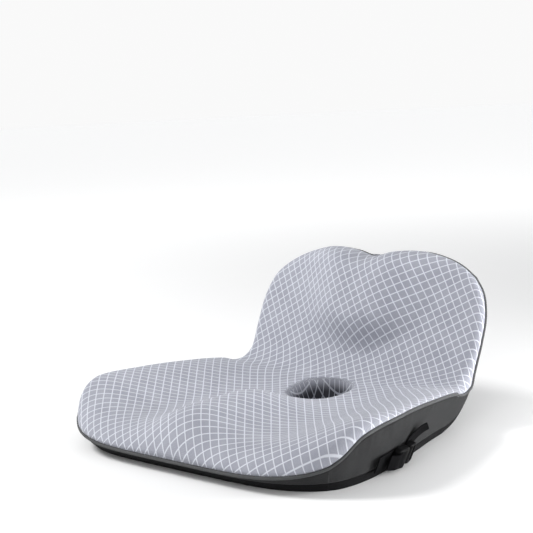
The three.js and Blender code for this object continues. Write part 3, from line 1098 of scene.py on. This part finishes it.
    def base_panel(self) -> bpy.types.Object:
        """Black cloth flat under the seat and up the rear, turned up as a rim all round.

        Returns:
            The piece.
        """
        c, s = self.contours, self.edge[:, 1]
        surface = Surface()
        rim, thick = c.rim(s), self.cloth
        zero, floor = np.zeros_like(s), np.full_like(s, self.base_cloth)
        inside = np.maximum(rim / 2, self.base_cloth + self.gap)
        section = [(0.0, zero)] + [(0.0, rim * t) for t in (0.15, 0.5, 0.85)]
        section += [(0.15 * thick, rim * 0.97), (0.5 * thick, rim), (0.85 * thick, rim * 0.97)]
        section += [(thick, np.maximum(rim * 0.85, inside)), (thick, inside), (thick, floor)]
        rings = [surface.add(self.ring(inset, h), self.ring_flat(h)) for inset, h in section]
        surface.strip(np.stack(rings), closed=True)
        for ring, up in ((rings[0], False), (rings[-1], True)):
            self.fill(surface, ring, up)
        piece = surface.build("base_cloth_panel", self.finishes.base)
        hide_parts("base_panel")
        base = self.edge + self.inward * c.wall_inset(s, zero)[:, None]
        ahead = np.roll(base, -1, axis=0)
        area = 0.5 * abs((base[:, 0] * ahead[:, 1] - ahead[:, 0] * base[:, 1]).sum())
        area = area + (rim * self.step).sum()
        return piece


# ------------------------------------------------------------------ strap and buckle
@dataclass
class StrapSet:
    """Webbing and release buckle low on the right side wall.

    Local X runs back along the wall, local Y up it, and local Z outward.
    """

    finishes: Finishes
    at: tuple[float, float, float] = (216.6 * MM, -75.6 * MM, 18.5 * MM)
    yaw: float = np.radians(8.3)
    tilt: float = np.radians(23.0)
    width: float = 20 * MM
    thickness: float = 1.4 * MM
    buckle_width: float = 26 * MM
    buckle_thickness: float = 8 * MM
    socket_length: float = 26 * MM
    plug_length: float = 17 * MM
    bar: float = 4 * MM
    slot_size: float = 3.4 * MM
    gap: float = 0.3 * MM
    tail_start: float = 38 * MM
    tail_rise: float = np.radians(50.0)
    selvedge_power: float = 0.35
    webbing_sides: int = 48
    outline_power: float = 0.42
    outline_sides: int = 160
    slot_power: float = 0.3
    slot_room: float = 1 * MM
    rim: float = 1.3 * MM
    rim_steps: int = 6
    crown_spread: float = 0.33
    anchor_route: tuple[tuple[float, float], ...] = (
        (-34, -0.4), (-20, -1), (-6, -1.3), (3, -1.3), (5.3, -0.4), (5.7, 2), (5.7, 6), (5.3, 8.6),
        (3, 9.5), (-3, 9.3), (-8, 7.4), (-14, 4.6),
    )
    tail_route: tuple[tuple[float, float], ...] = (
        (0, -1.4), (15, -1.4), (24, 0.2), (32, 2.8), (38, 6.2),
    )

    def to_part(self, local: Array) -> Array:
        """Turns local places into the part's frame.

        Args:
            local: (..., 3) places along the wall, up it, and out of it.

        Returns:
            The (..., 3) places in the part's frame.
        """
        back = np.array([-np.sin(self.yaw), np.cos(self.yaw), 0.0])
        out = np.array([back[1] * np.cos(self.tilt), -back[0] * np.cos(self.tilt), -np.sin(self.tilt)])
        up = np.cross(out, back)
        return local @ np.stack([back, up, out]) + np.array(self.at)

    def webbing(self, route: tuple, steps: int, turn: float, start: float) -> Surface:
        """Flat webbing with rounded selvedges, swept along a side view.

        The section is a superellipse of the webbing's width and thickness. It is carried along the
        route with its thickness square to the route's direction.

        Args:
            route: (x, z) places of the webbing's middle in millimetres.
            steps: rings along the route.
            turn: turn of the whole webbing about local Z, in radians.
            start: local x of the route's origin.

        Returns:
            The closed surface.
        """
        shares = np.linspace(0.0, 1.0, steps)
        line = smooth_path(list(route), shares)
        tangent = np.gradient(line, axis=0)
        tangent /= np.linalg.norm(tangent, axis=1, keepdims=True)
        y, n = superellipse(self.webbing_sides, 0.5 * self.width, 0.5 * self.thickness,
                            self.selvedge_power).T
        x = line[:, :1] - tangent[:, 1:] * n[None]
        z = line[:, 1:] + tangent[:, :1] * n[None]
        local = np.stack([x, np.broadcast_to(y, x.shape), z], axis=-1)
        cos, sin = np.cos(turn), np.sin(turn)
        turned = np.stack([local[..., 0] * cos - local[..., 1] * sin + start,
                           local[..., 0] * sin + local[..., 1] * cos, local[..., 2]], axis=-1)
        run = np.concatenate([[0.0], np.cumsum(np.linalg.norm(np.diff(line, axis=0), axis=1))])
        flat = np.stack([np.broadcast_to(y, x.shape), np.broadcast_to(run[:, None], x.shape)], axis=-1)
        surface = Surface()
        rows = surface.add(self.to_part(turned), flat)
        surface.strip(rows[:, ::-1], closed=True)
        half = self.webbing_sides // 2
        for row, up in ((rows[0], True), (rows[-1], False)):
            surface.rungs(row[: half + 1], np.roll(row[::-1], 1)[: half + 1], up)
        return surface

    def straps(self) -> list[bpy.types.Object]:
        """The sewn end, looped over the socket's bar, and the free tail.

        Returns:
            The two pieces.
        """
        pieces = []
        for name, node, route, steps, turn, start in (
            ("strap_sewn_end", "strap_anchor", self.anchor_route, 120, 0.0, 0.0),
            ("strap_free_end", "strap_tail", self.tail_route, 60, self.tail_rise, self.tail_start),
        ):
            piece = self.webbing(route, steps, turn, start).build(name, self.finishes.webbing)
            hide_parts(node)
            pieces.append(piece)
        return pieces

    def plate(self, length: float, slot_from: float, crown: float, shoulder: float) -> Surface:
        """One buckle half: a crowned plate with rounded rims, and a slot for the webbing.

        Rings run from the outer rim over the top to the slot, down it, and back below. The outline
        is a superellipse, the slot a squarer one, and the faces swell by a crown that fades towards
        the slot's end.

        Args:
            length: its length along local X.
            slot_from: local x where the slot starts.
            crown: how far the top face swells.
            shoulder: where along the length the crown is highest, as a share.

        Returns:
            The closed surface, with its front end at local x = 0.
        """
        def rim_rows(edge: Array, way: float, face: float, side: float) -> list:
            """Quarter-round rim: rows from the wall at an edge to a face, with no swell."""
            return [(edge + way * inward * rim * (1 - np.cos(t)), face - side * rim * (1 - np.sin(t)), 0.0)
                    for t in np.linspace(0.0, np.pi / 2, self.rim_steps)]

        rim, thick = self.rim, self.buckle_thickness
        outer = superellipse(self.outline_sides, length / 2, self.buckle_width / 2, self.outline_power)
        outer = outer + [length / 2, 0.0]
        slot = superellipse(self.outline_sides, self.slot_size / 2, (self.width + self.slot_room) / 2,
                            self.slot_power)
        slot = slot + [slot_from + self.slot_size / 2, 0.0]
        inward = slot - outer
        inward /= np.linalg.norm(inward, axis=1, keepdims=True)
        between = (0.25, 0.5, 0.75)
        rows = rim_rows(outer, 1.0, thick, 1.0)
        rows += [(outer + (slot - outer) * share, thick, np.sin(np.pi * share)) for share in between]
        rows += rim_rows(slot, -1.0, thick, 1.0)[::-1]
        rows += rim_rows(slot, -1.0, 0.0, -1.0)
        rows += [(outer + (slot - outer) * share, 0.0, 0.0) for share in reversed(between)]
        rows += rim_rows(outer, 1.0, 0.0, -1.0)[::-1]
        surface = Surface()
        indices = []
        for outline, height, swell in rows:
            along = outline[:, 0] / length
            rise = crown * swell * np.exp(-(((along - shoulder) / self.crown_spread) ** 2))
            place = np.column_stack([outline, height + rise])
            indices.append(surface.add(place, outline))
        indices.append(indices[0])
        surface.strip(np.stack(indices), closed=True)
        return surface

    def buckle(self) -> list[bpy.types.Object]:
        """The socket and plug, snapped together, each with its webbing slot.

        Returns:
            The two pieces.
        """
        pieces = []
        for name, node, length, slot_from, crown, shoulder, start in (
            ("buckle_socket_shell", "buckle_socket", self.socket_length, self.bar,
             3.0 * MM, 0.62, 0.0),
            ("buckle_plug_shell", "buckle_plug", self.plug_length,
             self.plug_length - self.bar - self.slot_size, 1.2 * MM, 0.25,
             self.socket_length + self.gap),
        ):
            surface = self.plate(length, slot_from, crown, shoulder)
            surface.points = [self.to_part(p + [start, 0.0, 0.0]) for p in surface.points]
            piece = surface.build(name, self.finishes.plastic)
            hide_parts(node)
            pieces.append(piece)
        return pieces


# ------------------------------------------------------------------ studio
@dataclass(frozen=True)
class Studio:
    """Plain pale floor, soft light from the front left, and the camera."""

    eye: tuple[float, float, float] = (1.0765, -1.2469, 0.4568)
    azimuth: float = np.radians(41.5)
    elevation: float = np.radians(8.25)
    roll: float = np.radians(2.8)
    lens: float = 88.2
    floor_radius: float = 14.0
    surround: float = 0.47
    sweep: float = 0.95
    far_glow: float = 0.5
    glow_range: tuple[float, float] = (0.8, 3.2)
    floor_paint: tuple[float, float, float, float] = (0.92, 0.92, 0.92, 1.0)
    sensor: float = 36.0
    view_end: float = 60.0
    surround_tint: tuple[float, float, float] = (0.98, 0.99, 1.0)
    sweep_range: tuple[float, float] = (0.80, 0.97)
    aim: tuple[float, float, float] = (0.0, 0.0, 0.08)

    def camera(self) -> None:
        """Places the camera: it looks a little down from the front right, rolled a little."""
        a, e, r = self.azimuth, self.elevation, self.roll
        right = Vector((np.cos(a), np.sin(a), 0.0))
        back = Vector((np.sin(a) * np.cos(e), -np.cos(a) * np.cos(e), np.sin(e)))
        up = back.cross(right)
        rolled = right * np.cos(r) - up * np.sin(r)
        upright = right * np.sin(r) + up * np.cos(r)
        data = bpy.data.cameras.new("camera")
        data.lens = self.lens
        data.sensor_width = self.sensor
        data.clip_end = self.view_end
        camera = add_object("camera", data)
        turn = Matrix((rolled, upright, back)).transposed().to_4x4()
        camera.matrix_world = Matrix.Translation(self.eye) @ turn
        bpy.context.scene.camera = camera

    def floor(self) -> None:
        """A wide round floor that glows a little away from the cushion, so no horizon shows."""
        mesh = bpy.data.meshes.new("floor")
        angle = round_angles(96)
        ring = np.column_stack([np.cos(angle), np.sin(angle), np.zeros_like(angle)]) * self.floor_radius
        mesh.from_pydata([tuple(p) for p in ring], [], [tuple(range(len(ring)))])
        made, g, shader = new_material("floor_paint")
        reach = g.node("ShaderNodeVectorMath", operation="LENGTH")
        g.put(g.node("ShaderNodeTexCoord").outputs["Object"], reach.inputs[0])
        glow = g.math("MULTIPLY", g.step(reach.outputs["Value"], *self.glow_range), self.far_glow)
        g.feed(shader, {"Base Color": self.floor_paint, "Roughness": 0.8, "Specular IOR Level": 0.1,
                        "Emission Color": (1.0, 1.0, 1.0, 1.0), "Emission Strength": glow})
        mesh.materials.append(made)
        add_object("floor", mesh)

    def area(self, name: str, place: tuple, energy: float, size: float) -> None:
        """Adds a square area light that faces the cushion.

        Args:
            name: its name.
            place: where it stands, in metres.
            energy: its power in watts.
            size: its side in metres.
        """
        data = bpy.data.lights.new(name, "AREA")
        data.energy, data.size = energy, size
        light = add_object(name, data)
        light.location = place
        light.rotation_euler = (Vector(self.aim) - Vector(place)).to_track_quat("-Z", "Y").to_euler()

    def light(self) -> None:
        """An even surround, brighter behind the cushion, with a soft key from the left.

        A weak light fills in from the front, and another picks out the rear of the right side.
        """
        world = bpy.data.worlds.new("studio")
        world.use_nodes = True
        g = Graph(world.node_tree)
        facing = g.node("ShaderNodeVectorMath", operation="DOT_PRODUCT")
        g.put(g.node("ShaderNodeTexCoord").outputs["Generated"], facing.inputs[0])
        facing.inputs[1].default_value = (-np.sin(self.azimuth), np.cos(self.azimuth), 0.0)
        behind = g.step(facing.outputs["Value"], *self.sweep_range)
        background = world.node_tree.nodes["Background"]
        surround = [self.surround * tint for tint in self.surround_tint]
        colour = g.mix(behind, (*surround, 1.0), (self.sweep, self.sweep, self.sweep, 1.0))
        g.put(colour, background.inputs["Color"])
        bpy.context.scene.world = world
        self.area("key", (-1.7, -0.85, 1.85), 52.0, 0.8)
        self.area("front", (1.0, -1.7, 1.3), 9.0, 1.0)
        self.area("rear_right", (0.80, 0.40, 0.14), 10.0, 0.4)
        bpy.context.scene.view_settings.view_transform = "Standard"


def main() -> None:
    logging.basicConfig(level=logging.INFO)
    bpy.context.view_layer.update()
    studio = Studio()
    studio.camera()
    studio.floor()
    studio.light()
    finishes = Finishes()
    cover = Cover(finishes)
    strap = StrapSet(finishes)
    pieces = [cover.body(), cover.piping(), cover.side_band(), cover.base_panel()]
    pieces += strap.straps() + strap.buckle()
    for piece in pieces:
        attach(piece, "root")
        log.info("%s: %d faces", piece.name, len(piece.data.polygons))


if __name__ == "__main__":
    main()
